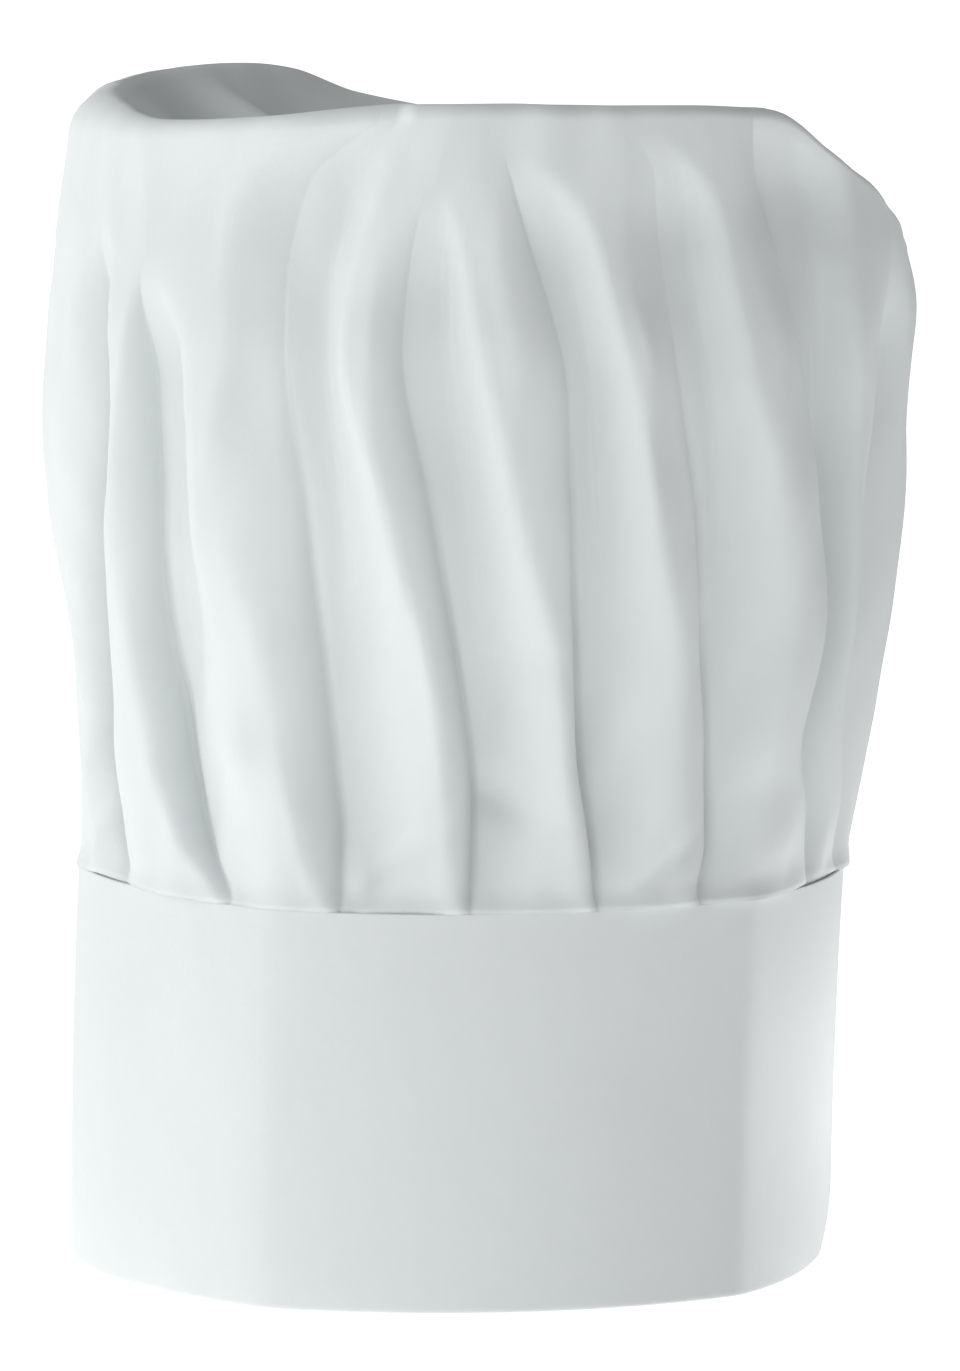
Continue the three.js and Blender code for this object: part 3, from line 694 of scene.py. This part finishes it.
def cotton(name, tint, roughness):
    """White woven cotton: a plain weave, faint unevenness of tone, painted shade in the creases, fine
    crumpling.
    """
    material = bpy.data.materials.new(name)
    material.use_nodes = True
    nodes, links = material.node_tree.nodes, material.node_tree.links
    shader = nodes["Principled BSDF"]
    shader.inputs["Roughness"].default_value = roughness
    shader.inputs["Sheen Weight"].default_value = SHEEN
    shader.inputs["Sheen Roughness"].default_value = SHEEN_ROUGHNESS
    shader.inputs["Specular IOR Level"].default_value = SPECULAR

    coordinates = nodes.new("ShaderNodeTexCoord")
    patches = nodes.new("ShaderNodeTexNoise")
    patches.inputs["Scale"].default_value = UNEVEN["scale"]
    patches.inputs["Detail"].default_value = UNEVEN["detail"]
    links.new(coordinates.outputs["Object"], patches.inputs["Vector"])
    ramp = nodes.new("ShaderNodeValToRGB")
    ramp.color_ramp.elements[0].position = UNEVEN["from"]
    ramp.color_ramp.elements[1].position = UNEVEN["to"]
    ramp.color_ramp.elements[0].color = toned(tint, UNEVEN["tone"])
    ramp.color_ramp.elements[1].color = toned(tint, 1)
    links.new(patches.outputs["Fac"], ramp.inputs["Fac"])
    # Painted shade: the crease attribute mixes the colour towards a darker tint along the creases
    crease = nodes.new("ShaderNodeAttribute")
    crease.attribute_name = "crease"
    painted_crease_shade = nodes.new("ShaderNodeMix")
    painted_crease_shade.data_type = "RGBA"
    painted_crease_shade.inputs["B"].default_value = toned(tint, CREASE_PAINTED_SHADE_TONE)
    links.new(crease.outputs["Fac"], painted_crease_shade.inputs["Factor"])
    links.new(ramp.outputs["Color"], painted_crease_shade.inputs["A"])
    links.new(painted_crease_shade.outputs["Result"], shader.inputs["Base Color"])

    uv = nodes.new("ShaderNodeUVMap")
    uv.uv_map = "weave"
    split = nodes.new("ShaderNodeSeparateXYZ")
    links.new(uv.outputs["UV"], split.inputs["Vector"])
    threads = []
    for way in ("X", "Y"):
        scaled = nodes.new("ShaderNodeMath")
        scaled.operation = "MULTIPLY"
        scaled.inputs[1].default_value = math.pi / (THREAD_MM * MM)
        links.new(split.outputs[way], scaled.inputs[0])
        wave = nodes.new("ShaderNodeMath")
        wave.operation = "SINE"
        links.new(scaled.outputs["Value"], wave.inputs[0])
        threads.append(wave)
    weave = nodes.new("ShaderNodeMath")
    weave.operation = "MULTIPLY"
    links.new(threads[0].outputs["Value"], weave.inputs[0])
    links.new(threads[1].outputs["Value"], weave.inputs[1])

    crumple = nodes.new("ShaderNodeTexNoise")
    crumple.inputs["Scale"].default_value = CRUMPLE_BUMP["scale"]
    crumple.inputs["Detail"].default_value = CRUMPLE_BUMP["detail"]
    links.new(coordinates.outputs["Object"], crumple.inputs["Vector"])
    fine = nodes.new("ShaderNodeBump")
    fine.inputs["Strength"].default_value = WEAVE_BUMP["strength"]
    fine.inputs["Distance"].default_value = WEAVE_BUMP["distance"]
    links.new(weave.outputs["Value"], fine.inputs["Height"])
    soft = nodes.new("ShaderNodeBump")
    soft.inputs["Strength"].default_value = CRUMPLE_BUMP["strength"]
    soft.inputs["Distance"].default_value = CRUMPLE_BUMP["distance"]
    links.new(crumple.outputs["Fac"], soft.inputs["Height"])
    links.new(fine.outputs["Normal"], soft.inputs["Normal"])
    links.new(soft.outputs["Normal"], shader.inputs["Normal"])
    return material


# Stage, light and camera

def make_floor():
    size = FLOOR_HALF
    corners = [(-size, -size, 0), (size, -size, 0), (size, size, 0), (-size, size, 0)]
    mesh = bpy.data.meshes.new("floor")
    mesh.from_pydata(corners, [], [(0, 1, 2, 3)])
    mesh.update()
    floor = bpy.data.objects.new("floor", mesh)
    bpy.context.scene.collection.objects.link(floor)
    white = bpy.data.materials.new("pale_floor")
    white.use_nodes = True
    shader = white.node_tree.nodes["Principled BSDF"]
    shader.inputs["Base Color"].default_value = (FLOOR_TONE, FLOOR_TONE, FLOOR_TONE, 1)
    shader.inputs["Roughness"].default_value = FLOOR_ROUGHNESS
    shader.inputs["Emission Color"].default_value = (1, 1, 1, 1)
    shader.inputs["Emission Strength"].default_value = FLOOR_GLOW
    mesh.materials.append(white)


def direction(deg, elevation):
    a, e = math.radians(deg), math.radians(elevation)
    return Vector((math.sin(a) * math.cos(e), -math.cos(a) * math.cos(e), math.sin(e)))


def make_key():
    """A broad soft light from the left."""
    light = bpy.data.lights.new("key", "SUN")
    light.energy = KEY["strength"]
    light.angle = math.radians(KEY["spread"])
    light.color = KEY["colour"]
    sun = bpy.data.objects.new("key", light)
    sun.rotation_euler = direction(KEY["deg"], KEY["elevation"]).to_track_quat("Z", "Y").to_euler()
    bpy.context.scene.collection.objects.link(sun)


def make_side_spot():
    """A low flagged light from the right, which reaches the band and not the crown."""
    light = bpy.data.lights.new("side", "SPOT")
    light.energy = SIDE["power"]
    light.spot_size = math.radians(SIDE["spread"])
    light.spot_blend = SIDE["soft"]
    light.shadow_soft_size = SIDE["size"]
    spot = bpy.data.objects.new("side", light)
    aim = Vector(SIDE_AIM)
    spot.location = aim + direction(SIDE["deg"], 0) * SIDE["far"]
    spot.rotation_euler = (spot.location - aim).to_track_quat("Z", "Y").to_euler()
    bpy.context.scene.collection.objects.link(spot)


def make_sky():
    """Even white light, brighter from the left and from near the horizon than from overhead."""
    world = bpy.data.worlds.new("studio")
    bpy.context.scene.world = world
    world.use_nodes = True
    nodes, links = world.node_tree.nodes, world.node_tree.links
    coordinates = nodes.new("ShaderNodeTexCoord")
    split = nodes.new("ShaderNodeSeparateXYZ")
    links.new(coordinates.outputs["Generated"], split.inputs["Vector"])
    upward = nodes.new("ShaderNodeMapRange")
    upward.inputs["From Min"].default_value = SKY_RISES["from"]
    upward.inputs["From Max"].default_value = SKY_RISES["to"]
    upward.inputs["To Min"].default_value = SKY_RISES["level"]
    upward.inputs["To Max"].default_value = SKY_RISES["overhead"]
    links.new(split.outputs["Z"], upward.inputs["Value"])
    sideways = nodes.new("ShaderNodeMapRange")
    sideways.inputs["From Min"].default_value = SKY_CROSSES["from"]
    sideways.inputs["From Max"].default_value = SKY_CROSSES["to"]
    sideways.inputs["To Min"].default_value = SKY_CROSSES["left"]
    sideways.inputs["To Max"].default_value = SKY_CROSSES["right"]
    links.new(split.outputs["X"], sideways.inputs["Value"])
    strength = nodes.new("ShaderNodeMath")
    strength.operation = "MULTIPLY"
    links.new(upward.outputs["Result"], strength.inputs[0])
    links.new(sideways.outputs["Result"], strength.inputs[1])
    background = nodes["Background"]
    background.inputs["Color"].default_value = toned(SKY_COLOUR, 1)
    links.new(strength.outputs["Value"], background.inputs["Strength"])


def make_camera(axis):
    data = bpy.data.cameras.new("camera")
    camera = bpy.data.objects.new("camera", data)
    bpy.context.scene.collection.objects.link(camera)
    data.sensor_width = SENSOR
    data.lens = data.sensor_width * CAMERA_DISTANCE / (FRAME_TALL_MM * MM)
    aim = axis + Vector((FRAME_CENTRE_MM[0] * MM, 0, FRAME_CENTRE_MM[1] * MM))
    back = direction(0, CAMERA_ELEVATION)
    camera.location = aim + back * CAMERA_DISTANCE
    camera.rotation_euler = back.to_track_quat("Z", "Y").to_euler()
    bpy.context.scene.camera = camera


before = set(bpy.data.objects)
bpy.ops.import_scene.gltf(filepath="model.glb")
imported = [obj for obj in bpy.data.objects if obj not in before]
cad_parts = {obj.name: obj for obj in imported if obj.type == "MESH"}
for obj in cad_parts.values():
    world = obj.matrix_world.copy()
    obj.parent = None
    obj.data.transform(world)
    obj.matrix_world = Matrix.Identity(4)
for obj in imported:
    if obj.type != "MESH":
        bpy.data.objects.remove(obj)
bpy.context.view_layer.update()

band = make_band()
crown = make_crown()

# The band's axis in the frame is found by laying the dressed band's box over the solid's.
own = np.array([v.co for v in band.data.vertices])
low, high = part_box("band")
axis = Vector(((low.x + high.x) / 2, (low.y + high.y) / 2, 0))
axis -= Vector(((own[:, 0].min() + own[:, 0].max()) / 2, (own[:, 1].min() + own[:, 1].max()) / 2, 0))
for piece in (band, crown):
    piece.data.transform(Matrix.Translation(axis))
    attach(piece, "root")

band.data.materials.append(cotton("band_cotton", BAND_TINT, BAND_ROUGHNESS))
crown.data.materials.append(cotton("crown_cotton", CROWN_TINT, CROWN_ROUGHNESS))
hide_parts("band")
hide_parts("crown")

make_floor()
make_key()
make_side_spot()
make_sky()
make_camera(axis)
bpy.context.scene.view_settings.view_transform = "Standard"
